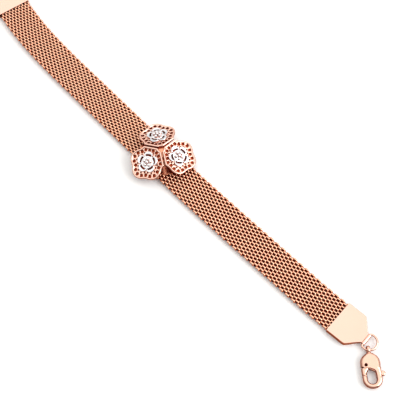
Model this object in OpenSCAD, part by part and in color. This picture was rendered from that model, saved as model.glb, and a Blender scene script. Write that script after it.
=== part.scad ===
// Mesh bracelet lying open and flat: a woven metal band with a plain cap on each
// end, a D-shaped ring in each cap's tube, a trigger clasp on one ring and a
// cluster of three pierced flowers soldered at the middle of the band.
// Millimetres. +X runs along the band towards the clasp, +Z points up and the
// surface that the bracelet lies on is at z = 0.

/* [Band] */
// Width of the woven band
band_w = 10.4; // [10:0.1:10.6]
// Thickness of the woven band
band_t = 1.6; // [1.4:0.1:1.7]
// Length of band that shows between the two end caps
band_len = 147; // [130:1:160]

/* [End caps] */
// Width of a cap, from side to side of the bracelet
cap_w = 10.8; // [10.8:0.1:11.2]
// Thickness of a cap where it holds the band
cap_t = 2; // [2:0.1:2.4]
// Distance from a cap's mouth to the middle of its tube
cap_reach = 10.4; // [10.4:0.1:10.8]
// Length of the tube across a cap's neck
tube_len = 3.5; // [3.2:0.1:3.6]
// Outside diameter of the tube
tube_d = 1.2; // [1.1:0.05:1.3]

/* [Rings] */
// Diameter of the wire of the two D-shaped rings
ring_wire = 0.66; // [0.5:0.02:0.7]
// Radius of a ring's round part, to the middle of its wire
ring_r = 2.4; // [2.35:0.01:2.5]
// Half the length of a ring's straight side
ring_half = 2.15; // [2.15:0.05:2.25]

/* [Clasp] */
// Length of the clasp from the middle of its eye to its tip
clasp_len = 11.4; // [11.3:0.1:11.8]
// Width of the clasp
clasp_w = 5.7; // [5.6:0.1:5.9]
// Thickness of the clasp's body
clasp_t = 2.4; // [2.3:0.1:2.6]
// Thickness of the hook and the gate
hook_t = 1.6; // [1.4:0.1:1.8]
// Direction in which the clasp lies, turned from the band's own
clasp_turn = -44; // [-45:1:-42]

/* [Flowers] */
// Distance of each flower's middle from the middle of the cluster
cluster_r = 5.5; // [5.4:0.1:5.8]
// Height of each flower's middle above the surface
flower_z = 4.4; // [4.3:0.1:4.6]
// Angle by which each flower leans outwards
flower_lean = 22; // [21:1:23]
// Radius of a flower at the tips of its five lobes
flower_r = 5.8; // [5.6:0.1:5.9]
// Width of the smooth wire round a flower's edge
rim_w = 0.62; // [0.5:0.02:0.7]

/* [Hidden] */
$fn = 48;

rose = [0.93, 0.66, 0.53];
white = [0.9, 0.9, 0.92];

// Place of the cluster's middle that puts the origin under the middle of the whole
origin_x = -4.28;
origin_y = -0.37;
mid_z = cap_t / 2;
half_len = band_len / 2;

// Direction of the band, in degrees, along its length: it lies nearly straight
// and bends a little towards its ends. Columns: distance from the cluster, heading
band_heading = [[-74, -12.5], [-68, -10], [-60, -6], [-50, -2.8], [-40, -1.4],
                [-15, -1.6], [0, -1.2], [12, -0.5], [24, 0.5], [48, 0.8], [62, 0.8], [74, 4.4]];
station_step = 2;

function heading(s) = lookup(s, band_heading);
function unit(a) = [cos(a), sin(a)];
function add_up(list, i = 0) = i == len(list) ? [0, 0] : list[i] + add_up(list, i + 1);

// Point of the band's middle line at distance s from the cluster
function station(s) =
    let (n = max(1, ceil(abs(s) / station_step)), step = s / n)
    [origin_x, origin_y] + add_up([for (i = [0:n - 1]) step * unit(heading((i + 0.5) * step))]);

module at_station(s, turn = 0) {
    translate([station(s).x, station(s).y, 0])
        rotate([0, 0, heading(s) + turn])
            children();
}

// The band's hidden ends are pressed narrower and thinner inside the caps
tuck_len = 4;
tuck_w = band_w - 0.8;
tuck_t = band_t - 0.3;
tuck_gap = 0.1;
band_round = 0.5;
band_side_points = 5;

// Rounded cross-section of the band, from its left side round its underside
function band_section(w, t) =
    let (r = band_round * t / band_t)
    [for (side = [0:3], i = [0:band_side_points - 1])
        let (a = 90 * side + 90 * i / (band_side_points - 1),
             sy = (side == 0 || side == 3) ? 1 : -1,
             sz = side < 2 ? 1 : -1)
        [sy * (w / 2 - r) + r * cos(a), sz * (t / 2 - r) + r * sin(a)]];

// Rings of the sweep. Columns: distance from the cluster, width, thickness
shoulder = 0.15;
full_len = band_len - 2 * shoulder;
band_steps = 36;
band_rings = concat(
    [[-half_len - tuck_len, tuck_w, tuck_t], [-half_len, tuck_w, tuck_t]],
    [for (i = [0:band_steps]) [full_len * (i / band_steps - 0.5), band_w, band_t]],
    [[half_len, tuck_w, tuck_t], [half_len + tuck_len, tuck_w, tuck_t]]);

module mesh_band() {
    ring_points = 4 * band_side_points;
    last = len(band_rings) - 1;
    points = [for (ring = band_rings)
        let (p = station(ring[0]), a = heading(ring[0]))
        for (q = band_section(ring[1], ring[2]))
            [p.x - q.x * sin(a), p.y + q.x * cos(a), mid_z + q.y]];
    sides = [for (i = [0:last - 1], j = [0:ring_points - 1])
        let (k = (j + 1) % ring_points)
        [i * ring_points + j, i * ring_points + k,
         (i + 1) * ring_points + k, (i + 1) * ring_points + j]];
    near_end = [for (j = [ring_points - 1:-1:0]) j];
    far_end = [for (j = [0:ring_points - 1]) last * ring_points + j];
    color(rose) polyhedron(points, concat(sides, [near_end, far_end]), convexity = 4);
}

// A cap is a folded sheet that narrows to a neck with a tube across it.
// Columns: distance from the mouth, half the width
cap_side = [[0, cap_w / 2], [5.9, cap_w / 2], [6.4, cap_w / 2 - 0.15], [6.8, 4.85],
            [7.4, 4.2], [8.1, 3.4], [8.8, 2.65], [9.4, 2.05], [9.95, 1.65]];
neck_x = cap_side[len(cap_side) - 1].x;
neck_t = 1.1;
thin_from = 5.9;
pocket_len = tuck_len + 0.3;
bore_gap = 0.06;

module end_cap(s, turn) {
    color(rose) at_station(s, turn) difference() {
        union() {
            intersection() {
                linear_extrude(cap_t)
                    polygon(concat(cap_side, [for (i = [len(cap_side) - 1:-1:0])
                        [cap_side[i].x, -cap_side[i].y]]));
                translate([0, cap_w / 2, 0]) rotate([90, 0, 0]) linear_extrude(cap_w)
                    polygon([[0, 0], [thin_from, 0], [neck_x, mid_z - neck_t / 2],
                             [neck_x, mid_z + neck_t / 2], [thin_from, cap_t], [0, cap_t]]);
            }
            translate([cap_reach, 0, mid_z]) rotate([90, 0, 0])
                cylinder(d = tube_d, h = tube_len, center = true);
        }
        translate([-1, -tuck_w / 2 - tuck_gap, mid_z - tuck_t / 2 - tuck_gap])
            cube([1 + pocket_len, tuck_w + 2 * tuck_gap, tuck_t + 2 * tuck_gap]);
        translate([cap_reach, 0, mid_z]) rotate([90, 0, 0])
            cylinder(d = ring_wire + 2 * bore_gap, h = tube_len + 1, center = true);
    }
}

module end_cap_clasp() {
    end_cap(half_len, 0);
}

module end_cap_far() {
    end_cap(-half_len, 180);
}

// A D-shaped ring: its straight side turns in the tube and its bow stands out.
// A small bead of solder stands round each corner
corner_bead = 0.05;
bow_x = sqrt(ring_r * ring_r - ring_half * ring_half);
bow_end = atan2(ring_half, -bow_x);

module d_ring(s, turn, droop) {
    color(rose) at_station(s, turn) translate([cap_reach, 0, mid_z]) rotate([0, droop, 0]) {
        rotate([90, 0, 0]) cylinder(d = ring_wire, h = 2 * ring_half, center = true);
        for (side = [-1, 1]) translate([0, side * ring_half, 0])
            rotate([90, 0, 0]) sphere(d = ring_wire + corner_bead);
        translate([bow_x, 0, 0]) rotate([0, 0, -bow_end]) rotate_extrude(angle = 2 * bow_end)
            translate([ring_r, 0]) circle(d = ring_wire);
    }
}

module clasp_link() {
    d_ring(half_len, 0, 0);
}

// The far ring hangs down until its bow touches the surface
module far_link() {
    d_ring(-half_len, 180, asin((mid_z - ring_wire / 2) / (bow_x + ring_r)));
}

// The clasp's own frame: its eye's middle at the origin, +X towards the hook's tip.
// The eye hangs on the link where the pull comes out of the clasp's direction
eye_on_ring = -60;
eye_r = 1.2;
eye_hole_r = 0.76;
eye_w = 0.95;
clasp_mid = clasp_t / 2;

module at_clasp() {
    at_station(half_len)
        translate([cap_reach + bow_x + ring_r * cos(eye_on_ring), ring_r * sin(eye_on_ring), 0])
            rotate([0, 0, clasp_turn])
                children();
}

// Outline of the clasp's body. Columns: distance from the eye, half the width
clasp_side = [[1, 0.5], [1.32, 1.15], [1.65, 1.7], [2, 2.1], [2.4, 2.4],
              [2.9, 2.68], [3.6, clasp_w / 2]];
tip_x = clasp_len - clasp_w / 2;
window_r = 1.25;
window_y = -0.13;
window_from = 5.8;
window_to = 10;

// The gate's pivot, the seam where it meets the hook, and its thumb knob
pivot = [4.6, -1.45];
seam = [[7.3, -2.9], [8.1, -1.3]];
seam_gap = 0.12;
lip_gap = 0.15;
lip_x = 5.3;
lip_more = 0.1;
knob = [7.2, 3.1];
knob_r = 0.8;
knob_t = 0.9;
knob_room = 0.1;
open_angle = 22;

module clasp_outline() {
    full_x = clasp_side[len(clasp_side) - 1].x - 0.01;
    polygon(concat(clasp_side, [for (i = [len(clasp_side) - 1:-1:0])
        [clasp_side[i].x, -clasp_side[i].y]]));
    translate([full_x, -clasp_w / 2]) square([tip_x - full_x, clasp_w]);
    translate([tip_x, 0]) circle(d = clasp_w);
}

module clasp_window() {
    translate([window_from + window_r, window_y]) circle(window_r);
    translate([window_to - window_r, window_y]) circle(window_r);
    translate([window_from + window_r, window_y - window_r])
        square([window_to - window_from - 2 * window_r, 2 * window_r]);
}

// Where the gate lies, from the body's lip to the seam
module gate_gap() {
    polygon([[lip_x, -clasp_w], [seam[0].x - 0.5, -clasp_w], seam[0], seam[1],
             [seam[1].x, window_y], [lip_x, window_y]]);
}

// The lever's arm, and the room that it and the gate's root swing in inside the body
arm_w = 0.9;
arm_t = 0.7;
arm_room = 0.05;
arm_side_room = 0.12;
arm_out = 6.2;
arm_angle = atan2(knob.y - pivot.y, knob.x - pivot.x);
root_room = 0.45;
root_turn = -40;
root_low = -1.6;
root_size = [3, 2.9];

module lever_room() {
    translate(pivot) circle(r = arm_w / 2 + root_room);
    translate(pivot) rotate(root_turn) translate([0, root_low]) square(root_size);
    for (a = [0, open_angle / 2, open_angle])
        translate(pivot) rotate(arm_angle + a)
            translate([0, -arm_w / 2 - arm_side_room]) square([arm_out, arm_w + 2 * arm_side_room]);
}

module clasp_body() {
    color(rose) at_clasp() difference() {
        union() {
            rotate([90, 0, 0]) translate([0, clasp_mid, 0])
                cylinder(r = eye_r, h = eye_w, center = true);
            linear_extrude(clasp_t) intersection() {
                clasp_outline();
                translate([0, -clasp_w]) square([window_from, 2 * clasp_w]);
            }
            translate([0, 0, clasp_mid - hook_t / 2]) linear_extrude(hook_t) difference() {
                clasp_outline();
                gate_gap();
            }
        }
        rotate([90, 0, 0]) translate([0, clasp_mid, 0])
            cylinder(r = eye_hole_r, h = clasp_w, center = true);
        translate([0, 0, -1]) linear_extrude(clasp_t + 2) {
            clasp_window();
            polygon([[lip_x, -clasp_w], [window_from + lip_more, -clasp_w],
                     [window_from + lip_more, window_y], [lip_x, window_y]]);
        }
        difference() {
            translate([0, 0, clasp_mid - arm_t / 2 - arm_room])
                linear_extrude(arm_t + 2 * arm_room) lever_room();
            translate([pivot.x, pivot.y, 0]) cylinder(r = pin_r, h = clasp_t);
        }
        translate([pivot.x, pivot.y, clasp_t - dimple_depth])
            cylinder(r = dimple_r, h = clasp_t);
        for (a = [0, 0.25, 0.5, 1]) translate([pivot.x, pivot.y, clasp_mid])
            rotate([0, 0, a * open_angle]) translate([knob.x - pivot.x, knob.y - pivot.y, 0])
                cylinder(r = knob_r + knob_room, h = knob_t + knob_room, center = true);
    }
}

pin_r = 0.3;
pin_gap = 0.04;
dimple_r = 0.4;
dimple_depth = 0.3;

// The gate, the arm that runs through the body and the knob that the thumb pulls
module clasp_lever() {
    gate_low = -clasp_w / 2;
    gate_high = window_y - window_r;
    gate_from = lip_x + lip_gap;
    root_to = gate_from + 0.15;
    color(rose) at_clasp() {
        difference() {
            translate([0, 0, clasp_mid - arm_t / 2]) linear_extrude(arm_t) {
                translate(pivot) circle(d = arm_w);
                translate(pivot) rotate(arm_angle)
                    translate([0, -arm_w / 2]) square([norm(knob - pivot), arm_w]);
                polygon([pivot + [-0.1, -arm_w / 2], [root_to, gate_low + 0.1],
                         [root_to, gate_high], pivot + [0.3, arm_w / 2]]);
            }
            translate([pivot.x, pivot.y, 0]) cylinder(r = pin_r + pin_gap, h = clasp_t);
        }
        translate([0, 0, clasp_mid - hook_t / 2]) linear_extrude(hook_t)
            polygon([[gate_from, gate_low], seam[0] + [-seam_gap, 0],
                     [seam[1].x - seam_gap + (gate_high - seam[1].y) / 2, gate_high],
                     [gate_from, gate_high]]);
        translate([knob.x, knob.y, clasp_mid])
            cylinder(r = knob_r, h = knob_t, center = true);
    }
}

// The cluster's middle lies a little to one side of the band's line
cluster_y = 0.9;
cluster_turn = 29;

// A plain plate on the band with a saddle flared up to the hub where the flowers meet
hub_r = 2.4;
hub_flat_r = 1;
hub_gap = 0.06;
base_gap = 0.03;
saddle_r = 4.6;
saddle_t = 0.35;
plate_len = 14;
plate_w = 9.6;
plate_t = 0.45;
rim_t = 0.8;
flare_steps = 8;
hub_hole_r = 0.3;
hub_hole_at = 0.75;
hub_hole_deep = 0.6;

// Height of the flowers' undersides along their own direction
function under(r) = flower_z - (r - cluster_r) * tan(flower_lean) - rim_t / 2 / cos(flower_lean)
    - hub_gap;

module flower_base() {
    band_top = mid_z + band_t / 2;
    low = band_top + base_gap;
    top = under(hub_flat_r);
    flare = [for (i = [0:flare_steps])
        let (a = 90 * i / flare_steps)
        [saddle_r - (saddle_r - hub_r) * sin(a),
         low + saddle_t + (under(hub_r) - low - saddle_t) * (1 - cos(a))]];
    color(rose) translate([origin_x, origin_y, 0]) {
        translate([0, 0, low]) rotate([0, 0, heading(0)]) linear_extrude(saddle_t)
            scale([plate_len, plate_w]) circle(d = 1);
    }
    color(rose) at_hub() difference() {
        rotate_extrude()
            polygon(concat([[0, low], [saddle_r, low]], flare,
                           [[hub_flat_r, top], [0, top]]));
        for (i = [0:2]) rotate([0, 0, 60 + 120 * i])
            translate([hub_hole_at, 0, top - hub_hole_deep]) cylinder(r = hub_hole_r, h = top);
    }
}

// A flower's edge has five round lobes with a notch between them. Beside the hub it
// is cut straight, half a gap short of the flower next to it
lobes = 5;
lobe_in = 0.8;
notch_round = 0.12;
edge_step = 4;
flower_gap = 0.2;
hole_count = 20;
hole_r = 0.38;
hole_gap = 0.1;
corner_hole_r = 0.24;
corner_hole_in = 2.11;

function lobed(a, r) =
    let (bulge = (1 - cos(lobes * a)) / 2)
    r * (lobe_in + (1 - lobe_in) * sqrt(notch_round + (1 - notch_round) * bulge));
function neighbour_r(a) =
    let (run = tan(60) * cos(flower_lean) * cos(a) + abs(sin(a)))
    run > 0 ? (tan(60) * cluster_r - 2 * flower_gap) / run : flower_r;
function edge_r(a, r) = min(lobed(a, r), neighbour_r(a));

module edge_shape(r, inset = 0) {
    polygon([for (a = [0:edge_step:359]) (edge_r(a, r) - inset) * unit(a)]);
}

module at_hub() {
    translate([origin_x, origin_y, 0]) rotate([0, 0, heading(0)]) translate([0, cluster_y, 0])
        rotate([0, 0, cluster_turn])
            children();
}

module at_flower(i) {
    at_hub() rotate([0, 0, 120 * i])
        translate([cluster_r, 0, flower_z]) rotate([0, flower_lean, 0]) rotate([0, 0, 180])
            children();
}

module flower(i) {
    color(rose) at_flower(i) {
        translate([0, 0, -rim_t / 2]) linear_extrude(rim_t) difference() {
            edge_shape(flower_r);
            edge_shape(flower_r, rim_w);
        }
        translate([0, 0, -plate_t / 2]) linear_extrude(plate_t) difference() {
            edge_shape(flower_r, rim_w / 2);
            for (k = [0:hole_count - 1]) {
                a = 360 * k / hole_count;
                translate((edge_r(a, flower_r) - rim_w - hole_gap - hole_r) * unit(a)) circle(hole_r);
            }
            for (k = [0:lobes - 1]) {
                a = 72 * k + 36;
                translate((edge_r(a, flower_r) - corner_hole_in) * unit(a)) circle(corner_hole_r);
            }
        }
    }
}

module flower_1() {
    flower(0);
}

module flower_2() {
    flower(1);
}

module flower_3() {
    flower(2);
}

// White inner flower: five joined petals, each parted by a curved slot
petal_r = 3.4;
petal_t = 0.5;
petal_gap = 0.03;
slot_in = 2.05;
slot_out = 2.45;
slot_half = 24;
slot_steps = 6;

module petals(i) {
    color(white) at_flower(i) translate([0, 0, plate_t / 2 + petal_gap])
        linear_extrude(petal_t) difference() {
            polygon([for (a = [0:edge_step:359]) lobed(a, petal_r) * unit(a)]);
            for (k = [0:lobes - 1])
                polygon(concat(
                    [for (j = [0:slot_steps])
                        slot_in * unit(72 * k + 36 + slot_half * (2 * j / slot_steps - 1))],
                    [for (j = [slot_steps:-1:0])
                        slot_out * unit(72 * k + 36 + slot_half * (2 * j / slot_steps - 1))]));
        }
}

module petals_1() {
    petals(0);
}

module petals_2() {
    petals(1);
}

module petals_3() {
    petals(2);
}

// Rosette at a flower's middle: five round petals round a bead on a thin plate
rosette_r = 1;
bead_r = 0.55;
bead_z = 0.15;
middle_z = 0.35;
rosette_t = 0.25;

module rosette(i) {
    color(white) at_flower(i) translate([0, 0, plate_t / 2 + petal_t + 2 * petal_gap])
        intersection() {
            union() {
                cylinder(r = rosette_r + 0.6 * bead_r, h = rosette_t);
                for (k = [0:lobes - 1]) rotate([0, 0, 72 * k + 36])
                    translate([rosette_r, 0, bead_z]) sphere(r = bead_r);
                translate([0, 0, middle_z]) sphere(r = bead_r);
            }
            cylinder(r = 3, h = 3);
        }
}

module rosette_1() {
    rosette(0);
}

module rosette_2() {
    rosette(1);
}

module rosette_3() {
    rosette(2);
}

mesh_band();
end_cap_clasp();
end_cap_far();
clasp_link();
far_link();
clasp_body();
clasp_lever();
flower_base();
flower_1();
flower_2();
flower_3();
petals_1();
petals_2();
petals_3();
rosette_1();
rosette_2();
rosette_3();
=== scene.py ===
"""Mesh bracelet lying open on a pale surface: woven rose gold band, plain caps,
D-rings, trigger clasp and a cluster of three pierced two-tone flowers."""
import math

import bmesh
import bpy
import numpy as np
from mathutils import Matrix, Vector


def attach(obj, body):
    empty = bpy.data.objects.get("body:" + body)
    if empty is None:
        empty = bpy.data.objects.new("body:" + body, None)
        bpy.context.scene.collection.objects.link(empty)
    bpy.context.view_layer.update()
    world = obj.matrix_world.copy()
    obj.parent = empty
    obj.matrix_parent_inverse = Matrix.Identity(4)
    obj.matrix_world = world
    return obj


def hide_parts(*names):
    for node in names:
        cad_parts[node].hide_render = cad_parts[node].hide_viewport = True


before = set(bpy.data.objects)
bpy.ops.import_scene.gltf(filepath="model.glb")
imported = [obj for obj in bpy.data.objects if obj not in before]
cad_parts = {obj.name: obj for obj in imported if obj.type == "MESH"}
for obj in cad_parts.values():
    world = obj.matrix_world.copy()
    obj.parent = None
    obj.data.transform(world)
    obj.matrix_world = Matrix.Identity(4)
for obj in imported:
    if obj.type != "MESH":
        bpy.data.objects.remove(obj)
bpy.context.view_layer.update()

MM = 0.001

# Sizes of the model, in millimetres, as in the part's source
ORIGIN = np.array([-4.28, -0.37])
HALF_LEN = 73.5
BAND_W = 10.4
MID_Z = 1.0
CAP_W = 10.8
CAP_T = 2.0
CAP_REACH = 10.4
TUBE_LEN = 3.5
TUBE_R = 0.6
BORE_R = 0.39
RING_WIRE_R = 0.325
RING_R = 2.4
RING_HALF = 2.15
CLASP_TURN = -44.0
CLASP_T = 2.4
CLASP_W = 5.68
CLASP_LEN = 11.4
FLOWER_Z = 4.4
CLUSTER_R = 5.5
CLUSTER_Y = 0.9
CLUSTER_TURN = 29.0
FLOWER_LEAN = 22.0
FLOWER_R = 5.8
LOBES = 5

# Heading of the band, in degrees, along its length: distance from the cluster, heading
HEADING = np.array([
    (-74, -12.5), (-68, -10), (-60, -6), (-50, -2.8), (-40, -1.4), (-15, -1.6), (0, -1.2),
    (12, -0.5), (24, 0.5), (48, 0.8), (62, 0.8), (74, 4.4)])
STATION_STEP = 2.0


def heading(s):
    """Direction of the band at distance s from the cluster, in radians."""
    return math.radians(np.interp(s, HEADING[:, 0], HEADING[:, 1]))


def station(s):
    """Point of the band's middle line at distance s from the cluster."""
    n = max(1, math.ceil(abs(s) / STATION_STEP))
    step = s / n
    angles = [heading((i + 0.5) * step) for i in range(n)]
    return ORIGIN + step * np.array([sum(map(math.cos, angles)), sum(map(math.sin, angles))])


def turn_z(points, angle):
    """Points turned about Z by an angle in radians."""
    c, s = math.cos(angle), math.sin(angle)
    out = np.array(points, float)
    out[..., 0] = c * points[..., 0] - s * points[..., 1]
    out[..., 1] = s * points[..., 0] + c * points[..., 1]
    return out


def turn_y(points, angle):
    """Points turned about Y by an angle in radians."""
    c, s = math.cos(angle), math.sin(angle)
    out = np.array(points, float)
    out[..., 0] = c * points[..., 0] + s * points[..., 2]
    out[..., 2] = -s * points[..., 0] + c * points[..., 2]
    return out


def at_station(points, s, turn=0.0):
    """Points of a frame whose origin is on the band's line, +X along the band."""
    out = turn_z(points, heading(s) + turn)
    out[..., :2] += station(s)
    return out


# Mesh building

def add_mesh(name, verts, faces, material, body, node, smooth=True):
    """A mesh object from points in millimetres that rides on a body for a node."""
    mesh = bpy.data.meshes.new(name)
    mesh.from_pydata((np.asarray(verts) * MM).tolist(), [], faces)
    mesh.validate()
    work = bmesh.new()
    work.from_mesh(mesh)
    bmesh.ops.recalc_face_normals(work, faces=work.faces)
    work.to_mesh(mesh)
    work.free()
    mesh.polygons.foreach_set("use_smooth", [smooth] * len(mesh.polygons))
    mesh.materials.append(material)
    piece = bpy.data.objects.new(name, mesh)
    bpy.context.collection.objects.link(piece)
    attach(piece, body)
    if node:
        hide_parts(node)
    return piece


def crease(piece, angle):
    """Keeps corners sharper than an angle crisp under smooth shading."""
    work = bmesh.new()
    work.from_mesh(piece.data)
    limit = math.radians(angle)
    for edge in work.edges:
        edge.smooth = len(edge.link_faces) == 2 and edge.calc_face_angle(0) < limit
    work.to_mesh(piece.data)
    work.free()
    weigh = piece.modifiers.new("weigh", "WEIGHTED_NORMAL")
    weigh.keep_sharp = True


def tube(path, radius, sides, closed=False, up=(0, 1, 0), flat=1.0):
    """Verts and faces of a wire along a path; up is never along the path. The wire is
    round, or flat times as thick as it is wide along up."""
    path = np.asarray(path, float)
    if closed:
        along = np.roll(path, -1, 0) - np.roll(path, 1, 0)
    else:
        along = np.gradient(path, axis=0)
    along /= np.linalg.norm(along, axis=1)[:, None]
    side = np.array(up, float) - along * (along @ np.array(up, float))[:, None]
    side /= np.linalg.norm(side, axis=1)[:, None]
    other = np.cross(along, side)
    a = 2 * np.pi * np.arange(sides) / sides
    ring = (np.cos(a)[None, :, None] * side[:, None]
            + flat * np.sin(a)[None, :, None] * other[:, None])
    radius = np.broadcast_to(np.asarray(radius, float), (len(path),))
    verts = (path[:, None] + radius[:, None, None] * ring).reshape(-1, 3)
    n = len(path)
    faces = []
    for i in range(n if closed else n - 1):
        k = (i + 1) % n
        for j in range(sides):
            q = (j + 1) % sides
            faces.append((i * sides + j, i * sides + q, k * sides + q, k * sides + j))
    if not closed:
        faces.append(tuple(range(sides))[::-1])
        faces.append(tuple((n - 1) * sides + j for j in range(sides)))
    return verts, faces


def loft(sections):
    """Verts and faces through closed sections with the same number of points, with
    both ends closed."""
    count = len(sections[0])
    faces = []
    for i in range(len(sections) - 1):
        for j in range(count):
            q = (j + 1) % count
            faces.append((i * count + j, i * count + q, (i + 1) * count + q, (i + 1) * count + j))
    faces.append(tuple(range(count))[::-1])
    faces.append(tuple((len(sections) - 1) * count + j for j in range(count)))
    return np.concatenate(sections), faces


# How the points of a surface net slide onto their surface: rounds, distance of the
# probes and longest move in steps of the grid, least slope squared, least length
SETTLE_ROUNDS = 6
SETTLE_PROBE = 0.02
SETTLE_MOVE = 0.5
LEAST_SLOPE = 0.05
LEAST_LENGTH = 1e-9


def surface_net(field, low, high, step):
    """Verts and faces of the surface field = 0 on a grid of cubes, with the points
    slid onto the surface. field takes an array of points and is negative inside."""
    low, high = np.array(low, float), np.array(high, float)
    n = np.ceil((high - low) / step).astype(int) + 1
    axes = [low[i] + step * np.arange(n[i]) for i in range(3)]
    grid = np.stack(np.meshgrid(*axes, indexing="ij"), -1)
    value = field(grid.reshape(-1, 3)).reshape(n)
    inside = value < 0
    corner = inside[:-1, :-1, :-1].astype(int)
    total = np.zeros_like(corner)
    for dx in (0, 1):
        for dy in (0, 1):
            for dz in (0, 1):
                total += inside[dx:n[0] - 1 + dx, dy:n[1] - 1 + dy, dz:n[2] - 1 + dz]
    mixed = (total > 0) & (total < 8)
    index = -np.ones(mixed.shape, int)
    cells = np.argwhere(mixed)
    index[tuple(cells.T)] = np.arange(len(cells))
    verts = low + (cells + 0.5) * step
    faces = []
    for axis in range(3):
        a, b = (axis + 1) % 3, (axis + 2) % 3
        first = np.take(inside, range(n[axis] - 1), axis)
        second = np.take(inside, range(1, n[axis]), axis)
        for cell in np.argwhere(first != second):
            if cell[a] == 0 or cell[b] == 0 or cell[a] >= n[a] - 1 or cell[b] >= n[b] - 1:
                continue
            quad = []
            for da, db in ((1, 1), (0, 1), (0, 0), (1, 0)):
                spot = cell.copy()
                spot[a] -= da
                spot[b] -= db
                quad.append(index[tuple(spot)])
            faces.append(tuple(quad if first[tuple(cell)] else quad[::-1]))
    tiny = step * SETTLE_PROBE
    for _ in range(SETTLE_ROUNDS):
        here = field(verts)
        slope = np.stack([(field(verts + tiny * e) - field(verts - tiny * e)) / (2 * tiny)
                          for e in np.eye(3)], -1)
        size = np.maximum((slope ** 2).sum(1), LEAST_SLOPE)
        move = -(here / size)[:, None] * slope
        length = np.linalg.norm(move, axis=1)
        share = SETTLE_MOVE * step / np.maximum(length, LEAST_LENGTH)
        move *= np.minimum(1, share)[:, None]
        verts = verts + move
    return verts, faces


def smooth_min(a, b, blend):
    """The smaller of two distances, blended where they are close."""
    h = np.maximum(blend - np.abs(a - b), 0) / blend
    return np.minimum(a, b) - h * h * blend / 4


def smooth_max(a, b, blend):
    """The larger of two distances, blended where they are close."""
    return -smooth_min(-a, -b, blend)


def ease(t):
    """Smooth step from 0 to 1."""
    t = np.clip(t, 0, 1)
    return t * t * (3 - 2 * t)


def slab(flat, z, half, edge):
    """A flat shape of distance flat, half thick each way, with its edges rounded."""
    x = flat + edge
    y = np.abs(z) - half + edge
    return np.hypot(np.maximum(x, 0), np.maximum(y, 0)) + np.minimum(np.maximum(x, y), 0) - edge


# Materials: polished metals whose roughness, tone and surface vary finely, with painted shade on
# sideways faces

SCRATCH_SCALE = 900.0
SCRATCH_DETAIL = 2.0
PATCH_SCALE = 260.0
PATCH_DETAIL = 3.0
ROUGH_SPREAD = (0.7, 1.3)
DENT_DEPTH = 0.00002


def metal(name, colour, side, upright, lying, rough, tone, bump):
    """Polished metal with faint tone patches and hairlines. Where a face's normal rises less
    than upright it is painted towards the colour side as painted shade, and where it rises
    more than lying it keeps its own colour."""
    mat = bpy.data.materials.new(name)
    mat.use_nodes = True
    nodes, links = mat.node_tree.nodes, mat.node_tree.links
    shader = nodes["Principled BSDF"]
    shader.inputs["Metallic"].default_value = 1.0
    shader.inputs["Specular Tint"].default_value = (*colour, 1)
    place = nodes.new("ShaderNodeTexCoord")
    patches = nodes.new("ShaderNodeTexNoise")
    patches.inputs["Scale"].default_value = PATCH_SCALE
    patches.inputs["Detail"].default_value = PATCH_DETAIL
    links.new(place.outputs["Object"], patches.inputs["Vector"])
    mix = nodes.new("ShaderNodeMix")
    mix.data_type = "RGBA"
    mix.inputs["A"].default_value = (*[c * (1 - tone) for c in colour], 1)
    mix.inputs["B"].default_value = (*[min(1, c * (1 + tone)) for c in colour], 1)
    links.new(patches.outputs["Fac"], mix.inputs["Factor"])
    split = nodes.new("ShaderNodeSeparateXYZ")
    links.new(place.outputs["Normal"], split.inputs["Vector"])
    level = nodes.new("ShaderNodeMath")
    level.operation = "ABSOLUTE"
    links.new(split.outputs["Z"], level.inputs[0])
    facing_up = nodes.new("ShaderNodeMapRange")
    facing_up.interpolation_type = "SMOOTHSTEP"
    facing_up.inputs["From Min"].default_value = upright
    facing_up.inputs["From Max"].default_value = lying
    links.new(level.outputs["Value"], facing_up.inputs["Value"])
    # Painted shade: sideways faces are mixed towards the colour side
    painted_side_shade = nodes.new("ShaderNodeMix")
    painted_side_shade.data_type = "RGBA"
    painted_side_shade.inputs["A"].default_value = (*side, 1)
    links.new(mix.outputs["Result"], painted_side_shade.inputs["B"])
    links.new(facing_up.outputs["Result"], painted_side_shade.inputs["Factor"])
    links.new(painted_side_shade.outputs["Result"], shader.inputs["Base Color"])
    hairs = nodes.new("ShaderNodeTexNoise")
    hairs.inputs["Scale"].default_value = SCRATCH_SCALE
    hairs.inputs["Detail"].default_value = SCRATCH_DETAIL
    links.new(place.outputs["Object"], hairs.inputs["Vector"])
    spread = nodes.new("ShaderNodeMapRange")
    spread.inputs["To Min"].default_value = rough * ROUGH_SPREAD[0]
    spread.inputs["To Max"].default_value = rough * ROUGH_SPREAD[1]
    links.new(hairs.outputs["Fac"], spread.inputs["Value"])
    links.new(spread.outputs["Result"], shader.inputs["Roughness"])
    dents = nodes.new("ShaderNodeBump")
    dents.inputs["Strength"].default_value = bump
    dents.inputs["Distance"].default_value = DENT_DEPTH
    links.new(hairs.outputs["Fac"], dents.inputs["Height"])
    links.new(dents.outputs["Normal"], shader.inputs["Normal"])
    return mat


# The second colour given to each metal is painted shade for its sideways faces. woven_gold is
# rose gold made deeper, partly its own colour and partly painted shade between its wires.
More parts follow.
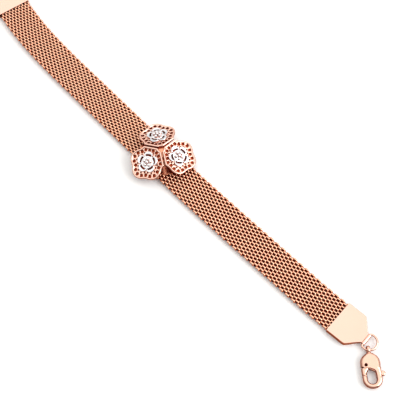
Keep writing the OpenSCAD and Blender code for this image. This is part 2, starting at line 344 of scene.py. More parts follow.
woven_gold = metal(
    "woven_gold", (1.0, 0.58, 0.39), (0.8, 0.16, 0.05), 0.1, 0.9, 0.18, 0.04, 0.12)
weave_shade = metal(
    "weave_shade", (0.1, 0.008, 0.003), (0.08, 0.006, 0.002), 0.1, 0.8, 0.6, 0.1, 0.2)
lace_shade = metal(
    "lace_shade", (0.34, 0.05, 0.015), (0.28, 0.035, 0.01), 0.1, 0.8, 0.5, 0.1, 0.2)
rose_gold = metal(
    "rose_gold", (0.96, 0.61, 0.49), (0.3, 0.07, 0.03), 0.25, 0.8, 0.14, 0.02, 0.05)
clasp_gold = metal(
    "clasp_gold", (0.95, 0.58, 0.45), (0.22, 0.045, 0.02), 0.35, 0.98, 0.16, 0.02, 0.05)
# Rose gold painted darker, as painted shade from the flowers over the plate and hub
saddle_gold_shaded = metal(
    "saddle_gold_shaded", (0.82, 0.36, 0.22), (0.5, 0.16, 0.08), 0.1, 0.8, 0.24, 0.04, 0.08)
# Near-black metal for the clasp's pin head: painted shade standing in for its pit
pin_pit_shade = metal(
    "pin_pit_shade", (0.05, 0.01, 0.005), (0.05, 0.01, 0.005), 0.1, 0.8, 0.6, 0.1, 0.1)
# Its reddish second colour is painted shade, tinted as a painted reflection of the rose gold
# below
white_gold = metal(
    "white_gold", (0.85, 0.86, 0.88), (0.6, 0.26, 0.18), 0.2, 0.9, 0.12, 0.02, 0.05)


# Woven band: flattened coils across the band, joined by a straight pin between rows.
# A coil starts and stops at COIL_FROM and COIL_TO half turns beyond its whole turns, and
# the two powers square off its round

WIRE_FLAT = 0.62
COIL_HALF = 0.7
COIL_HIGH = 0.6
LEAN = 1.25
COIL_FROM = -0.4
COIL_TO = 1.4
SQUARE_X = 0.9
SQUARE_Z = 0.65
TURN_STEPS = 18
WIRE_SIDES = 8
MOUTH_DEEP = 0.7
PIN_RISE = 0.4
PIN_END_IN = 0.45
PIN_POINTS = 7

# The two halves of the band, woven with their rows askew to it. Columns: half, from,
# to, radius of the wire and of the pins, distance between rows, pitch along a row,
# columns in even and in odd rows, sideways shift of the rows in pitches, direction of
# the rows in degrees
HALVES = (
    ("far", -HALF_LEN, 0.0, 0.23, 0.15, 1.12, 1.04, 10, 10, 0.25, 75.5),
    ("near", 0.0, HALF_LEN, 0.25, 0.11, 1.18, 1.09, 10, 9, 0.0, 96.0))


def coil(columns, pitch, shift):
    """Middle line of one coil: its front lies nearly straight along the band and
    its hidden back carries the sideways step."""
    start, stop = COIL_FROM * np.pi, 2 * np.pi * (columns - 1) + COIL_TO * np.pi
    t = np.linspace(start, stop, int(TURN_STEPS * (stop - start) / (2 * np.pi)) + 1)
    c, s = np.cos(t), np.sin(t)
    x = -COIL_HALF * np.sign(c) * np.abs(c) ** SQUARE_X
    z = COIL_HIGH * np.sign(s) * np.abs(s) ** SQUARE_Z
    y = -pitch * (t - np.pi / 2 + LEAN * c) / (2 * np.pi) + (columns - 1) * pitch / 2
    reach = (columns - 1) * pitch / 2
    y = np.clip(y, -reach, reach) + shift
    return np.stack([x, y, z + MID_Z], -1)


def half_band(name, start, stop, wire_r, pin_r, row, pitch, even, odd, shift, askew):
    """One half of the band; its rows are cut off at the ends of the half."""
    coils, pins = [], []
    slant = 1 / math.tan(math.radians(askew))
    spread = abs(slant) * BAND_W / 2 + row
    rows = int((stop - start + 2 * spread) / row)
    low = start - (MOUTH_DEEP if start < 0 else 0)
    high = stop + (MOUTH_DEEP if stop > 0 else 0)
    across = np.linspace(PIN_END_IN - BAND_W / 2, BAND_W / 2 - PIN_END_IN, PIN_POINTS)
    for k in range(rows):
        s = start - spread + row * (k + 0.5)
        path = coil(odd if k % 2 else even, pitch, shift * pitch * (1 if k % 2 else -1))
        middle = s + path[:, 1] * slant
        kept = (middle > low) & (middle < high)
        if kept.sum() >= TURN_STEPS:
            path[:, 0] += path[:, 1] * slant
            verts, faces = tube(path[kept], wire_r, WIRE_SIDES, flat=WIRE_FLAT)
            coils.append((bend(verts, s), faces))
        pin_x = row / 2 + across * slant
        kept = (s + pin_x > low) & (s + pin_x < high)
        if kept.sum() > 1:
            path = np.stack([pin_x, across, np.full(PIN_POINTS, MID_Z + PIN_RISE)], -1)
            verts, faces = tube(path[kept], pin_r, WIRE_SIDES, up=(0, 0, 1))
            pins.append((bend(verts, s), faces))
    for kind, parts in (("woven_", coils), ("pins_", pins)):
        verts, faces = joined(parts)
        add_mesh(kind + name, verts, faces, woven_gold, "band", "mesh_band")


def joined(parts):
    """Verts and faces of several meshes as one."""
    verts_all, faces_all = [], []
    base = 0
    for verts, faces in parts:
        verts_all.append(verts)
        faces_all.extend(tuple(i + base for i in f) for f in faces)
        base += len(verts)
    return np.concatenate(verts_all), faces_all


def bend(points, s):
    """Points of a straight band, given near distance s, laid along the band's line."""
    x = s + points[:, 0]
    stops = np.arange(math.floor(x.min()) - 1, math.ceil(x.max()) + 2)
    line = np.array([station(v) for v in stops])
    a = np.interp(x, stops, [heading(v) for v in stops])
    out = np.array(points, float)
    out[:, 0] = np.interp(x, stops, line[:, 0]) - points[:, 1] * np.sin(a)
    out[:, 1] = np.interp(x, stops, line[:, 1]) + points[:, 1] * np.cos(a)
    return out


# The dark sheet inside the weave is painted shade: its half width, half thickness and step along
# the band
SHADE_SHEET_HALF_W = BAND_W / 2 - 0.32
SHADE_SHEET_HALF_T = 0.1
SHADE_SHEET_STEP = 1.5


def woven_band():
    """Both halves of the weave, and a dark sheet inside it, painted shade that shows between its
    wires.
    """
    for half in HALVES:
        half_band(*half)
    sections = []
    for s in np.arange(-HALF_LEN, HALF_LEN + SHADE_SHEET_STEP / 2, SHADE_SHEET_STEP):
        corners = [(0, side * SHADE_SHEET_HALF_W, MID_Z + rise * SHADE_SHEET_HALF_T)
                   for side, rise in ((1, 1), (-1, 1), (-1, -1), (1, -1))]
        sections.append(bend(np.array(corners, float), s))
    verts, faces = loft(sections)
    add_mesh("weave_shade_sheet", verts, faces, weave_shade, "band", "mesh_band",
             smooth=False)


# End caps: a folded sheet that narrows to its tube

CAP_SIDE = np.array([
    (0, 5.35), (0.15, 5.39), (5.6, 5.39), (6.0, 5.37), (6.4, 5.24), (6.8, 4.85), (7.4, 4.2),
    (8.1, 3.4), (8.8, 2.65), (9.4, 2.05), (9.95, 1.64)])
CAP_EDGE = 0.2
CAP_CREASE = 50
EDGE_SHARE = 0.6
LIP_IN = 0.05
LIP_SHARE = 0.8
LIP_EDGE = 0.22
CORNER_STEPS = 5
SHEET_T = 0.28
POCKET_DEEP = 3.0
THIN_FROM = 5.9
NECK_X = 9.95
NECK_HALF_T = 0.55
TUBE_EDGE = 0.08
TUBE_STEPS = 40
TUBE_CREASE = 30


def cap_half_t(x):
    """Half the thickness of a cap at distance x from its mouth."""
    t = min(1, max(0, (x - THIN_FROM) / (NECK_X - THIN_FROM)))
    return CAP_T / 2 + (NECK_HALF_T - CAP_T / 2) * (t * t * (3 - 2 * t) * 0.5 + t * 0.5)


def cap_section(x, half_w, half_t, edge):
    """Rectangle with rounded corners across a cap."""
    points = []
    for quarter, (sy, sz) in enumerate(((1, 1), (-1, 1), (-1, -1), (1, -1))):
        for i in range(CORNER_STEPS):
            a = math.radians(90 * quarter + 90 * i / (CORNER_STEPS - 1))
            points.append((x, sy * (half_w - edge) + edge * math.cos(a),
                           MID_Z + sz * (half_t - edge) + edge * math.sin(a)))
    return np.array(points)


def end_cap(name, s, turn):
    """A cap with its open mouth, rounded edges and the tube across its neck."""
    wall = SHEET_T
    sections = [
        cap_section(POCKET_DEEP, CAP_W / 2 - wall, CAP_T / 2 - wall, CAP_EDGE),
        cap_section(LIP_IN, CAP_W / 2 - wall, CAP_T / 2 - wall, CAP_EDGE),
        cap_section(0, CAP_W / 2 - wall * LIP_SHARE, CAP_T / 2 - wall * LIP_SHARE, LIP_EDGE)]
    for x, half_w in CAP_SIDE:
        half_t = cap_half_t(x)
        sections.append(cap_section(x, half_w, half_t, min(CAP_EDGE, half_t * EDGE_SHARE)))
    verts, faces = loft(sections)
    body = add_mesh(name, at_station(verts, s, turn), faces, rose_gold, "band",
                    "end_cap_clasp" if s > 0 else "end_cap_far")
    crease(body, CAP_CREASE)
    edge = TUBE_EDGE
    profile = [(BORE_R, -TUBE_LEN / 2 + edge), (BORE_R + edge, -TUBE_LEN / 2),
               (TUBE_R - edge, -TUBE_LEN / 2), (TUBE_R, -TUBE_LEN / 2 + edge),
               (TUBE_R, TUBE_LEN / 2 - edge), (TUBE_R - edge, TUBE_LEN / 2),
               (BORE_R + edge, TUBE_LEN / 2), (BORE_R, TUBE_LEN / 2 - edge)]
    steps = TUBE_STEPS
    verts, faces = [], []
    for i in range(steps):
        a = 2 * math.pi * i / steps
        verts += [(CAP_REACH + r * math.cos(a), y, MID_Z + r * math.sin(a)) for r, y in profile]
    n = len(profile)
    for i in range(steps):
        for j in range(n):
            k, q = (i + 1) % steps, (j + 1) % n
            faces.append((i * n + j, i * n + q, k * n + q, k * n + j))
    barrel = add_mesh(name + "_tube", at_station(np.array(verts), s, turn), faces, rose_gold,
                      "band", None)
    crease(barrel, TUBE_CREASE)


# D-rings

BOW_X = math.sqrt(RING_R ** 2 - RING_HALF ** 2)
BOW_POINTS = 56
BOW_END_IN = 0.12
BAR_POINTS = 12
BAR_END_IN = 0.22
RING_SIDES = 16


def d_ring(name, node, body, s, turn, droop):
    """A closed D of round wire, with small bends where its bow meets its bar."""
    end = math.atan2(RING_HALF, -BOW_X)
    bow = [(BOW_X + RING_R * math.cos(a), RING_R * math.sin(a), 0)
           for a in np.linspace(-end + BOW_END_IN, end - BOW_END_IN, BOW_POINTS)]
    bar = [(0, y, 0)
           for y in np.linspace(RING_HALF - BAR_END_IN, -RING_HALF + BAR_END_IN, BAR_POINTS)]
    verts, faces = tube(np.array(bow + bar), RING_WIRE_R, RING_SIDES, closed=True,
                        up=(0, 0, 1))
    verts = turn_y(verts, droop) + np.array([CAP_REACH, 0, MID_Z])
    add_mesh(name, at_station(verts, s, turn), faces, rose_gold, body, node)


# Trigger clasp. Its own frame: the eye's middle at the origin, +X towards the tip

EYE_ON_RING = math.radians(-60)
EYE_MID_R = 0.975
EYE_HALF_R = 0.215
EYE_HALF_W = 0.45
CLASP_MID = CLASP_T / 2
HOOK_HALF_T = 0.79
TIP_X = CLASP_LEN - 2.85
WINDOW_R = 1.25
WINDOW_Y = -0.13
WINDOW_FROM = 5.8
WINDOW_TO = 10.0
PIVOT = np.array([4.6, -1.45])
KNOB = np.array([7.2, 3.1])
SEAM_FOOT = np.array([7.3, -2.9])
SEAM_OUT = np.array([1.6, -0.8]) / math.hypot(1.6, 0.8)
LIP_X = 5.3
OPEN_ANGLE = math.radians(22)
ARM_HALF_W = 0.42
KNOB_R = 0.79
SWING_GAP = 0.11
ROOT_ROOM = 1.25
DIMPLE_R = 0.48
DIMPLE_FLOOR = 0.7
EYE_BORE = 0.76
BODY_FROM = 0.9
BODY_EDGE = 0.95
SLOPE_STEP = 0.1
CAST_IN = 0.005
CAST_CLIP = 0.015
DOME = 0.4
END_DOME = 0.1
END_DOME_FROM = 2.6
END_DOME_LEN = 1.6
LIP_PAST = 0.15
LIP_SLANT = 0.1
SIDE_Y = 1.5
FADE_LEN = 2.6
FADE_W = 0.5
HOOK_EDGE = 0.74
ROOM_HALF_T = 0.47
UNDER_HALF_T = 0.85
UNDER_Y = 0.55
UNDER_FROM = 0.25
UNDER_TO = 0.8
GATE_IN = 0.01
GATE_EDGE = 0.73
GATE_TOP = 0.87
SEAM_GAP = 0.1
ROOT_BACK = 0.2
ROOT_HALF_LEN = 0.6
ARM_HALF_T = 0.33
ARM_EDGE = 0.1
KNOB_HALF_T = 0.44
KNOB_EDGE = 0.35
# Widths over which the clasp's forms blend, from crisp to soft
SEAM_BLEND = 0.04
CUT_BLEND = 0.05
BORE_BLEND = 0.08
KNOB_BLEND = 0.1
CRISP_BLEND = 0.12
EYE_BLEND = 0.2
# Grids: low corner, high corner, step
CASTING_GRID = ((-1.5, -3.2, -0.2), (11.8, 3.2, 2.6), 0.085)
GATE_GRID = ((3.8, -3.2, 0.1), (8.6, 4.2, 2.3), 0.08)
# The pin's head: radius and height over the clasp's middle
CLASP_PIN = ((0.45, 0.52), (0.45, 0.94), (0.4, 1))
CLASP_PIN_STEPS = 24
CLASP_SIDE = np.array([
    (0.9, 0.35), (1, 0.5), (1.32, 1.15), (1.65, 1.7), (2, 2.1), (2.4, 2.4), (2.9, 2.68),
    (3.6, 2.83), (4.2, 2.84), (20, 2.84)])


def at_clasp(points):
    """Points of the clasp's frame put in the model's."""
    out = turn_z(points, math.radians(CLASP_TURN))
    out[..., 0] += CAP_REACH + BOW_X + RING_R * math.cos(EYE_ON_RING)
    out[..., 1] += RING_R * math.sin(EYE_ON_RING)
    return at_station(out, HALF_LEN)


def clasp_flat(p):
    """Distance from the clasp's outline, seen from above."""
    half = np.interp(p[:, 0], CLASP_SIDE[:, 0], CLASP_SIDE[:, 1])
    ahead = np.interp(p[:, 0] + SLOPE_STEP, CLASP_SIDE[:, 0], CLASP_SIDE[:, 1])
    behind = np.interp(p[:, 0] - SLOPE_STEP, CLASP_SIDE[:, 0], CLASP_SIDE[:, 1])
    slope = (ahead - behind) / (2 * SLOPE_STEP)
    side = (np.abs(p[:, 1]) - half) / np.sqrt(1 + slope ** 2)
    tip = np.hypot(p[:, 0] - TIP_X, p[:, 1]) - CLASP_W / 2
    body = np.where(p[:, 0] > TIP_X, tip, side)
    return np.maximum(body, BODY_FROM - p[:, 0])


def window_flat(p):
    """Distance from the hook's opening, seen from above."""
    x = np.clip(p[:, 0], WINDOW_FROM + WINDOW_R, WINDOW_TO - WINDOW_R)
    return np.hypot(p[:, 0] - x, p[:, 1] - WINDOW_Y) - WINDOW_R


def seam_side(p):
    """Distance past the slanted seam between gate and hook."""
    return (p[:, :2] - SEAM_FOOT) @ SEAM_OUT


def swing_room(p):
    """Distance from the room that the lever swings in, seen from above."""
    rel = p[:, :2] - PIVOT
    reach = np.linalg.norm(KNOB - PIVOT)
    closed = math.atan2(KNOB[1] - PIVOT[1], KNOB[0] - PIVOT[0])
    a = closed + np.clip(np.arctan2(rel[:, 1], rel[:, 0]) - closed, 0, OPEN_ANGLE)
    way = np.stack([np.cos(a), np.sin(a)], -1)
    along = np.clip((rel * way).sum(1), 0, reach)
    arms = np.linalg.norm(rel - along[:, None] * way, axis=1) - ARM_HALF_W - SWING_GAP
    knobs = np.linalg.norm(rel - reach * way, axis=1) - KNOB_R - SWING_GAP
    root = np.linalg.norm(rel, axis=1) - ROOT_ROOM
    return np.minimum(np.minimum(arms, knobs), root)


def clasp_body_field(p):
    """The clasp's casting: eye, domed body, hook, and the room for its lever."""
    z = p[:, 2] - CLASP_MID
    flat = clasp_flat(p)
    lip = p[:, 0] - (LIP_X + LIP_PAST + LIP_SLANT * (p[:, 1] + SIDE_Y))
    end_dome = END_DOME * ease((END_DOME_FROM - p[:, 0]) / END_DOME_LEN)
    dome = DOME * (p[:, 1] / (CLASP_W / 2)) ** 2 + end_dome
    body = smooth_max(slab(flat, z, CLASP_MID - CAST_IN - dome, BODY_EDGE), lip, CRISP_BLEND)
    cut = np.maximum(LIP_X - SEAM_GAP - p[:, 0], seam_side(p))
    cut = np.maximum(cut, p[:, 1] - WINDOW_Y)
    fade = ease((KNOB[0] + 1 - p[:, 0]) / FADE_LEN) * ease((p[:, 1] + SIDE_Y) / FADE_W)
    half = HOOK_HALF_T + (CLASP_MID - HOOK_HALF_T - CAST_IN - dome) * fade
    inner = -window_flat(p)
    round_hook = slab(np.maximum(flat, inner), z, half, HOOK_EDGE)
    crisp_hook = smooth_max(slab(flat, z, half, HOOK_EDGE), inner, CRISP_BLEND)
    hook = smooth_max(round_hook + (crisp_hook - round_hook) * fade, -cut, SEAM_BLEND)
    shape = smooth_min(body, hook, CRISP_BLEND)
    ring = np.hypot(p[:, 0], z) - EYE_MID_R
    eye = np.hypot(ring / EYE_HALF_R, p[:, 1] / EYE_HALF_W) * EYE_HALF_R - EYE_HALF_R
    shape = smooth_min(shape, eye, EYE_BLEND)
    shape = smooth_max(shape, EYE_BORE - np.hypot(p[:, 0], z), BORE_BLEND)
    from_pivot = np.hypot(p[:, 0] - PIVOT[0], p[:, 1] - PIVOT[1])
    dimple = np.maximum(from_pivot - DIMPLE_R, DIMPLE_FLOOR - z)
    shape = smooth_max(shape, -dimple, CUT_BLEND)
    room = np.maximum(swing_room(p), np.abs(z) - ROOM_HALF_T)
    shape = smooth_max(shape, -room, CUT_BLEND)
    below_lip = np.maximum(np.abs(z) - UNDER_HALF_T, p[:, 1] + UNDER_Y)
    below_lip = np.maximum(below_lip, LIP_X - UNDER_FROM - p[:, 0])
    below_lip = np.maximum(below_lip, p[:, 0] - LIP_X - UNDER_TO)
    shape = smooth_max(shape, -below_lip, CUT_BLEND)
    return smooth_max(shape, np.abs(z) - CLASP_MID + CAST_CLIP, CUT_BLEND)


def clasp_lever_field(p):
    """The gate, the arm through the body and the thumb knob."""
    z = p[:, 2] - CLASP_MID
    ends = np.maximum(LIP_X + SEAM_GAP - p[:, 0], seam_side(p) + SEAM_GAP)
    gate = slab(np.maximum(clasp_flat(p), -window_flat(p)) + GATE_IN, z,
                HOOK_HALF_T - GATE_IN, GATE_EDGE)
    gate = smooth_max(gate, np.maximum(ends, p[:, 1] - WINDOW_Y + GATE_TOP), SEAM_BLEND)
    root = np.maximum(np.abs(p[:, 0] - LIP_X + ROOT_BACK) - ROOT_HALF_LEN,
                      np.abs(p[:, 1] - PIVOT[1]) - ARM_HALF_W)
    gate = smooth_min(gate, slab(root, z, ARM_HALF_T, ARM_EDGE), CUT_BLEND)
    way = (KNOB - PIVOT) / np.linalg.norm(KNOB - PIVOT)
    rel = p[:, :2] - PIVOT
    t = np.clip(rel @ way, 0, np.linalg.norm(KNOB - PIVOT))
    arm = slab(np.hypot(rel[:, 0] - t * way[0], rel[:, 1] - t * way[1]) - ARM_HALF_W,
               z, ARM_HALF_T, ARM_EDGE)
    knob = slab(np.hypot(p[:, 0] - KNOB[0], p[:, 1] - KNOB[1]) - KNOB_R,
                z, KNOB_HALF_T, KNOB_EDGE)
    return smooth_min(smooth_min(gate, arm, KNOB_BLEND), knob, KNOB_BLEND)


def clasp():
    """The clasp's body, the head of its pin painted black as the shade of its pit, and its lever.
    """
    verts, faces = surface_net(clasp_body_field, *CASTING_GRID)
    add_mesh("clasp_casting", at_clasp(verts), faces, clasp_gold, "clasp", "clasp_body")
    angles = np.linspace(0, 2 * math.pi, CLASP_PIN_STEPS, endpoint=False)
    verts, faces = loft([
        np.array([(PIVOT[0] + r * math.cos(a), PIVOT[1] + r * math.sin(a), CLASP_MID + height)
                  for a in angles]) for r, height in CLASP_PIN])
    add_mesh("clasp_pin", at_clasp(verts), faces, pin_pit_shade, "clasp", "clasp_body")
    verts, faces = surface_net(clasp_lever_field, *GATE_GRID)
    add_mesh("clasp_gate", at_clasp(verts), faces, clasp_gold, "gate", "clasp_lever")


# Flowers. Each flower's frame: its middle at the origin, +X towards the hub

RIM_W = 0.62
RIM_HALF_T = 0.4
RIM_EDGE = 0.3
LACE_LOW = 0.02
LACE_HALF_T = 0.2
LACE_EDGE = 0.08
LACE_BLEND = 0.1
BACK_LOW = 0.32
BACK_HALF_T = 0.05
BACK_EDGE = 0.03
LEAST_RUN = 0.1
LEAST_RADIUS = 0.5
ANGLE_STEP = 0.01
LOBE_IN = 0.8
NOTCH = 0.12
FLOWER_GAP = 0.2
HOLE_COUNT = 20
HOLE_IN = 1.13
HOLE_R = 0.5
SMALL_HOLE_IN = 2.05
SMALL_HOLE_R = 0.26
PETAL_AT = 1.95
PETAL_R = 1.43
SLOT_AT = 2.22
SLOT_HALF = 0.24
SLOT_REACH = 0.94
SLOT_GAP = 0.05
PETALS_R = 2.65
PETALS_BLEND = 0.3
WHITE_Z = 0.5
WHITE_HALF_T = 0.24
WHITE_EDGE = 0.17
WHITE_BLEND = 0.08
PARTING_HALF = 0.1
PARTING_FROM = 2.1
CUP_DEEP = 0.1
BEAD_AT = 1.0
BEAD_R = 0.52
BEAD_Z = 0.95
MIDDLE_BEAD_Z = 1.15
BEAD_FLAT = 0.8
# Grids: low corner, high corner, step
LACE_GRID = ((-6, -6, -0.6), (6, 6, 0.6), 0.09)
BACK_GRID = ((-6, -6, -0.5), (6, 6, -0.1), 0.09)
WHITE_GRID = ((-3.7, -3.7, 0), (3.7, 3.7, 1.0), 0.08)


def at_hub(points):
    """Points round the cluster's middle put in the model's frame."""
    out = turn_z(points, math.radians(CLUSTER_TURN))
    out[..., 1] += CLUSTER_Y
    return at_station(out, 0.0)


def at_flower(points, i):
    """Points of flower i's frame put in the model's."""
    out = turn_z(points, math.pi)
    out = turn_y(out, math.radians(FLOWER_LEAN)) + np.array([CLUSTER_R, 0, FLOWER_Z])
    return at_hub(turn_z(out, math.radians(120 * i)))


def edge_r(a):
    """Radius of a flower's edge in direction a: five lobes, cut beside its neighbours."""
    bulge = (1 - np.cos(LOBES * a)) / 2
    lobed = FLOWER_R * (LOBE_IN + (1 - LOBE_IN) * np.sqrt(NOTCH + (1 - NOTCH) * bulge))
    run = math.tan(math.pi / 3) * math.cos(math.radians(FLOWER_LEAN)) * np.cos(a)
    run = np.maximum(run + np.abs(np.sin(a)), LEAST_RUN)
    return np.minimum(lobed, (math.tan(math.pi / 3) * CLUSTER_R - 2 * FLOWER_GAP) / run)


def edge_flat(p):
    """Distance from a flower's edge, seen along its axis."""
    a = np.arctan2(p[:, 1], p[:, 0])
    slope = (edge_r(a + ANGLE_STEP) - edge_r(a - ANGLE_STEP)) / (2 * ANGLE_STEP)
    radius = np.hypot(p[:, 0], p[:, 1])
    tilt = slope / np.maximum(radius, LEAST_RADIUS)
    return (radius - edge_r(a)) / np.sqrt(1 + tilt ** 2)


def lobe_turn(p):
    """Angle from the nearest lobe's direction, and distance from the middle."""
    a = np.arctan2(p[:, 1], p[:, 0])
    step = 2 * np.pi / LOBES
    return a % step - step / 2, np.hypot(p[:, 0], p[:, 1])


def hole_row(p, inset, size, shift):
    """Depth inside the nearest of a row of round holes that follows the edge."""
    step = 2 * np.pi / HOLE_COUNT
    a = (np.round(np.arctan2(p[:, 1], p[:, 0]) / step - shift) + shift) * step
    r = edge_r(a) - inset
    return size - np.hypot(p[:, 0] - r * np.cos(a), p[:, 1] - r * np.sin(a))


def flower_field(p):
    """Pierced flower: a rim of smooth wire round a plate with rows of holes."""
    edge = edge_flat(p)
    rim = slab(np.abs(edge + RIM_W / 2) - RIM_W / 2, p[:, 2], RIM_HALF_T, RIM_EDGE)
    turn, radius = lobe_turn(p)
    holes = np.maximum(hole_row(p, HOLE_IN, HOLE_R, 0.0),
                       hole_row(p, SMALL_HOLE_IN, SMALL_HOLE_R, 0.5))
    slot = np.maximum(np.abs(radius - SLOT_AT) - SLOT_HALF - SLOT_GAP,
                      np.abs(turn) * radius - SLOT_REACH - SLOT_GAP)
    plate = np.maximum(np.maximum(edge + RIM_W / 2, holes), -slot)
    lace = slab(plate, p[:, 2] + LACE_LOW, LACE_HALF_T, LACE_EDGE)
    return smooth_min(rim, lace, LACE_BLEND)


def back_field(p):
    """Thin closed back of a flower, painted dark red as the shade that shows through its holes.
    """
    return slab(edge_flat(p) + RIM_W / 2, p[:, 2] + BACK_LOW, BACK_HALF_T, BACK_EDGE)


def petals_field(p):
    """White inner flower: five cupped petals parted by curved slots."""
    turn, radius = lobe_turn(p)
    u, v = radius * np.cos(turn), radius * np.sin(turn)
    from_petal = np.hypot(u - PETAL_AT, v)
    outline = smooth_min(from_petal - PETAL_R, radius - PETALS_R, PETALS_BLEND)
    slot = np.maximum(np.abs(radius - SLOT_AT) - SLOT_HALF, np.abs(turn) * radius - SLOT_REACH)
    flat = smooth_max(outline, -slot, WHITE_BLEND)
    off_notch = radius * np.sin(np.pi / LOBES - np.abs(turn))
    parting = np.maximum(off_notch - PARTING_HALF, PARTING_FROM - radius)
    flat = smooth_max(flat, -parting, WHITE_BLEND)
    cup = CUP_DEEP * np.clip(1 - (from_petal / PETAL_R) ** 2, 0, 1)
    return slab(flat, p[:, 2] - WHITE_Z + cup, WHITE_HALF_T, WHITE_EDGE)


def rosette_mesh():
    """Beads with flat cut faces, as diamond-cut petals, round a middle bead."""
    verts, faces = [], []
    spots = [(BEAD_AT * math.cos(a), BEAD_AT * math.sin(a), BEAD_Z)
             for a in 2 * math.pi * (np.arange(LOBES) + 0.5) / LOBES]
    spots.append((0, 0, MIDDLE_BEAD_Z))
    for x, y, z in spots:
        bead = bmesh.new()
        bmesh.ops.create_icosphere(bead, subdivisions=2, radius=BEAD_R)
        base = len(verts)
        verts += [(v.co.x + x, v.co.y + y, v.co.z * BEAD_FLAT + z) for v in bead.verts]
        faces += [tuple(v.index + base for v in f.verts) for f in bead.faces]
        bead.free()
    return np.array(verts), faces


SADDLE_R = 4.6
SADDLE_T = 0.35
SADDLE_LOW = 1.83
HUB_R = 2.4
PLATE_LEN = 14.0
PLATE_W = 9.6
HUB_GAP = 0.07
HUB_MIDDLE_R = 1.0
AXIS_R = 0.001
FLARE_IN = 0.01
FLARE_STEPS = 12
TOP_IN = 0.005
SADDLE_STEPS = 72
SADDLE_CREASE = 40


def under(r):
    """Height of the hub's top at distance r from its axis, just under the flowers."""
    lean = math.radians(FLOWER_LEAN)
    return FLOWER_Z - (r - CLUSTER_R) * math.tan(lean) - RIM_HALF_T / math.cos(lean) - HUB_GAP


def saddle():
    """The plain plate on the band and the flare up to where the flowers meet."""
    angles = 2 * np.pi * np.arange(SADDLE_STEPS) / SADDLE_STEPS
    top = SADDLE_LOW + SADDLE_T - TOP_IN
    sections = []
    for inset, z in ((0.08, SADDLE_LOW), (0.01, SADDLE_LOW + 0.08), (0.01, top - 0.1),
                     (0.04, top - 0.03), (0.12, top)):
        sections.append(np.array([((PLATE_LEN / 2 - inset) * math.cos(a),
                                   (PLATE_W / 2 - inset) * math.sin(a), z) for a in angles]))
    verts, faces = loft(sections)
    plate = add_mesh("flower_plate", at_station(verts, 0.0), faces, saddle_gold_shaded, "band",
                     "flower_base")
    crease(plate, SADDLE_CREASE)
    foot = SADDLE_R - FLARE_IN
    profile = [(AXIS_R, SADDLE_LOW), (foot, SADDLE_LOW), (foot, top)]
    for i in range(1, FLARE_STEPS + 1):
        a = math.radians(90 * i / FLARE_STEPS)
        profile.append((foot - (SADDLE_R - HUB_R) * math.sin(a),
                        top + (under(HUB_R) - top) * (1 - math.cos(a))))
    profile += [(HUB_MIDDLE_R, under(HUB_MIDDLE_R)), (AXIS_R, under(HUB_MIDDLE_R))]
    sections = [np.array([(r * math.cos(a), r * math.sin(a), z) for a in angles])
                for r, z in profile]
    verts, faces = loft(sections)
    flare = add_mesh("flower_hub", at_hub(verts), faces, saddle_gold_shaded, "band", "flower_base")
    crease(flare, SADDLE_CREASE)


def flowers():
    """The three flowers, each a pierced plate, its back, white petals and rosette."""
    lace = surface_net(flower_field, *LACE_GRID)
    back = surface_net(back_field, *BACK_GRID)
    white = surface_net(petals_field, *WHITE_GRID)
    beads = rosette_mesh()
    for i in range(3):
        n = str(i + 1)
        add_mesh("flower_lace_" + n, at_flower(lace[0], i), lace[1], rose_gold, "band",
                 "flower_" + n)
        add_mesh("flower_back_" + n, at_flower(back[0], i), back[1], lace_shade, "band",
                 "flower_" + n)
        add_mesh("white_petals_" + n, at_flower(white[0], i), white[1], white_gold, "band",
                 "petals_" + n)
        add_mesh("rosette_beads_" + n, at_flower(beads[0], i), beads[1], white_gold, "band",
                 "rosette_" + n, smooth=False)


# Stage: floor, soft lights and the photo's camera

CAMERA_LENS = 95.19
CAMERA_ELEVATION = 66.0
CAMERA_AZIMUTH = 45.0
CAMERA_DISTANCE = 333.96
LOOK_AT = (17.82, -1.32, 0.0)

FLOOR_SIZE = 6
FLOOR_TONE = 0.93
FLOOR_ROUGH = 0.9
SENSOR_WIDTH = 36
CLIP_START = 0.01

# The studio is brightest overhead, leaning away from the camera. Columns: cosine of the
# angle from the direction of the light, brightness
LIGHT_WAY = (-0.28, 0.2, 0.94)
SKY = ((0.0, 0.2), (0.3, 0.42), (0.6, 1.0), (0.85, 1.35), (1.0, 1.4))
SKY_GREEN = 0.985
SKY_BLUE = 0.96
SKY_STRENGTH = 2.0
KEY_PLACE = (0.9, 0.55, 0.75)
KEY_SIZE = (1.0, 1.0)
KEY_POWER = 12


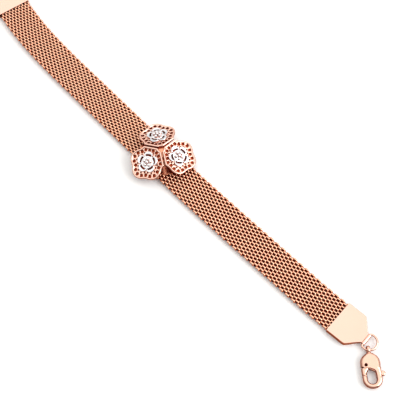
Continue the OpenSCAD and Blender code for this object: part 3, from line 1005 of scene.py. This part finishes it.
def stage():
    """Pale floor, soft studio light and the camera at the photo's angle."""
    bpy.ops.mesh.primitive_plane_add(size=FLOOR_SIZE, location=(0, 0, 0))
    floor = bpy.context.object
    floor.name = "floor"
    paint = bpy.data.materials.new("floor_paint")
    paint.use_nodes = True
    shader = paint.node_tree.nodes["Principled BSDF"]
    shader.inputs["Base Color"].default_value = (FLOOR_TONE, FLOOR_TONE, FLOOR_TONE, 1)
    shader.inputs["Roughness"].default_value = FLOOR_ROUGH
    floor.data.materials.append(paint)

    world = bpy.data.worlds.new("studio")
    bpy.context.scene.world = world
    world.use_nodes = True
    nodes, links = world.node_tree.nodes, world.node_tree.links
    place = nodes.new("ShaderNodeTexCoord")
    facing = nodes.new("ShaderNodeVectorMath")
    facing.operation = "DOT_PRODUCT"
    facing.inputs[1].default_value = LIGHT_WAY
    ramp = nodes.new("ShaderNodeValToRGB")
    links.new(place.outputs["Generated"], facing.inputs[0])
    links.new(facing.outputs["Value"], ramp.inputs["Fac"])
    while len(ramp.color_ramp.elements) < len(SKY):
        ramp.color_ramp.elements.new(0.5)
    for stop, (place_on_ramp, light) in zip(ramp.color_ramp.elements, SKY):
        stop.position = place_on_ramp
        red = light / SKY_STRENGTH
        stop.color = (red, red * SKY_GREEN, red * SKY_BLUE, 1)
    links.new(ramp.outputs["Color"], nodes["Background"].inputs["Color"])
    nodes["Background"].inputs["Strength"].default_value = SKY_STRENGTH

    lamp = bpy.data.lights.new("key", "AREA")
    lamp.shape = "RECTANGLE"
    lamp.size, lamp.size_y = KEY_SIZE
    lamp.energy = KEY_POWER
    box = bpy.data.objects.new("key", lamp)
    bpy.context.collection.objects.link(box)
    box.location = KEY_PLACE
    aim = -Vector(KEY_PLACE)
    box.rotation_euler = aim.to_track_quat("-Z", "Y").to_euler()

    lens = bpy.data.cameras.new("camera")
    lens.lens = CAMERA_LENS
    lens.sensor_width = SENSOR_WIDTH
    lens.clip_start = CLIP_START
    camera = bpy.data.objects.new("camera", lens)
    bpy.context.collection.objects.link(camera)
    azimuth, rise = math.radians(CAMERA_AZIMUTH), math.radians(CAMERA_ELEVATION)
    back = Vector((math.sin(azimuth) * math.cos(rise), -math.cos(azimuth) * math.cos(rise),
                   math.sin(rise)))
    target = Vector(LOOK_AT) * MM
    camera.location = target + back * CAMERA_DISTANCE * MM
    camera.rotation_euler = (-back).to_track_quat("-Z", "Y").to_euler()
    bpy.context.scene.camera = camera
    bpy.context.scene.view_settings.view_transform = "Standard"


stage()
woven_band()
end_cap("cap_near", HALF_LEN, 0.0)
end_cap("cap_far", -HALF_LEN, math.pi)
d_ring("near_ring", "clasp_link", "clasp", HALF_LEN, 0.0, 0.0)
d_ring("far_d_ring", "far_link", "far_ring", -HALF_LEN, math.pi,
       math.asin((MID_Z - RING_WIRE_R) / (BOW_X + RING_R)))
clasp()
saddle()
flowers()
